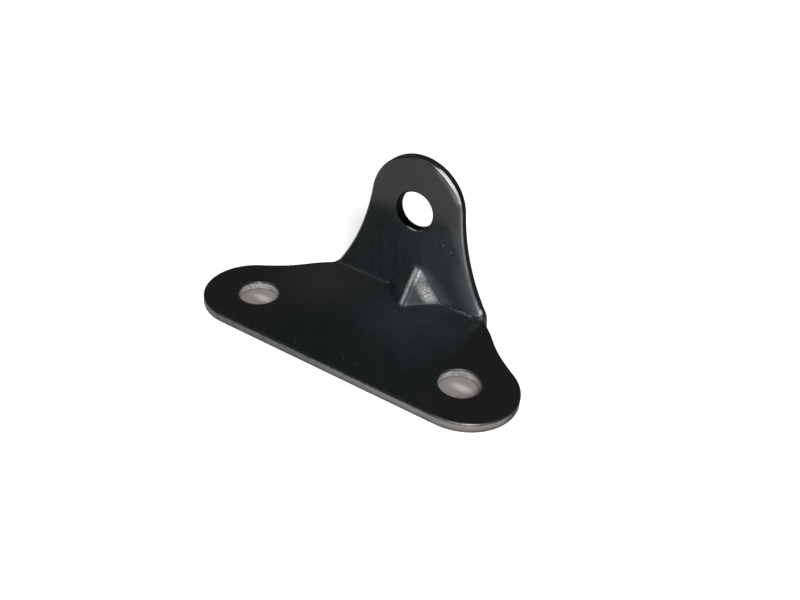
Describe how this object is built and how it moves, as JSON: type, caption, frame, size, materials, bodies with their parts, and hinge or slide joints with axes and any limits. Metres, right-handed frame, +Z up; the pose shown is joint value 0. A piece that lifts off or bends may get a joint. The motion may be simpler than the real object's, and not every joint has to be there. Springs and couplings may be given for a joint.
{
  "type": "stamped metal bracket",
  "caption": "Folded sheet-metal bracket: flat base with a fixing hole at each end, a round-topped upright ear with a hole, and a pressed rib across the fold.",
  "frame": {"origin": "midway between the two base holes, on the underside of the base", "axes": "+X along the line of the base holes, +Y from the straight front edge towards the ear, +Z up from the base"},
  "size_m": [0.074, 0.034, 0.034],
  "materials": {
    "painted_steel": "thin black coating on steel sheet, semi-gloss"
  },
  "bodies": {
    "root": {"bracket": "painted_steel"}
  },
  "joints": []
}
